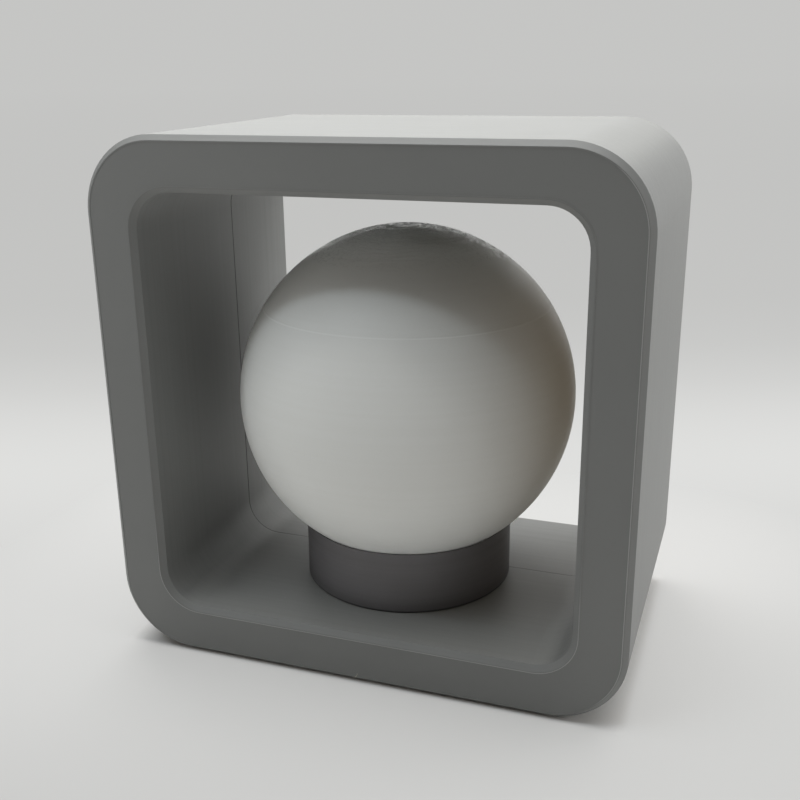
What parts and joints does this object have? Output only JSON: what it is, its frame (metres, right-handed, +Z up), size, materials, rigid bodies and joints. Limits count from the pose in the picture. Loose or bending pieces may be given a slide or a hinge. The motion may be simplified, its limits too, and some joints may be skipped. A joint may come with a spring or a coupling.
{
  "type": "globe table lamp",
  "caption": "Table lamp: an opal globe that lifts out of a round collar, inside a square printed frame that holds the driver, power inlet and rocker switch.",
  "frame": {"origin": "centre of the lamp's box at table level, under the globe's axis", "axes": "+X to the viewer's right, +Y from the front face to the back face, +Z up along the globe's axis"},
  "size_m": [0.2, 0.1334, 0.201],
  "materials": {
    "frame_grey": "matt grey printed plastic with fine layer lines",
    "collar_grey": "matt dark grey printed plastic",
    "globe_opal": "opal white printed plastic, satin, lets light through",
    "rubber_black": "matt black rubber",
    "steel": "zinc-plated steel",
    "brass": "machined brass",
    "aluminium": "bare rolled aluminium",
    "pad_grey": "soft grey heat-conducting pad",
    "board_white": "white solder mask",
    "board_green": "green solder mask",
    "chip_yellow": "white chip case with a yellow phosphor lens",
    "black_parts": "moulded black component bodies",
    "switch_black": "moulded black plastic, half gloss",
    "header_cream": "natural nylon",
    "can_silver": "drawn aluminium can",
    "lead_red": "red insulation",
    "lead_black": "black insulation"
  },
  "bodies": {
    "lamp": {"front_frame": "frame_grey", "rear_frame": "frame_grey", "rear_screws": "steel", "frame_inserts": "brass", "feet": "rubber_black", "lamp_collar": "collar_grey", "collar_screws": "steel", "collar_inserts": "brass", "lead_grommet": "rubber_black", "heat_spreader": "aluminium", "thermal_pad": "pad_grey", "led_board": "board_white", "led_chips": "chip_yellow", "board_resistors": "black_parts", "board_connector": "header_cream", "board_screws": "steel", "driver_board": "board_green", "driver_coil": "black_parts", "driver_capacitors": "can_silver", "driver_chip": "black_parts", "driver_headers": "header_cream", "driver_screws": "steel", "inlet_body": "switch_black", "inlet_pin": "steel", "inlet_nut": "steel", "inlet_tag": "brass", "switch_housing": "switch_black", "switch_blades": "brass", "red_leads": "lead_red", "black_leads": "lead_black"},
    "globe": {"globe": "globe_opal"},
    "rocker": {"switch_rocker": "switch_black"}
  },
  "joints": [
    {"name": "globe_lift", "type": "slide", "parent": "lamp", "child": "globe", "axis": [0, 0, 1], "range_m": [0, 0.016]},
    {"name": "rocker_press", "type": "hinge", "parent": "lamp", "child": "rocker", "pos_m": [-0.018, 0.0614, 0.0104], "axis": [0, 0, 1], "range_deg": [0, 16]}
  ]
}
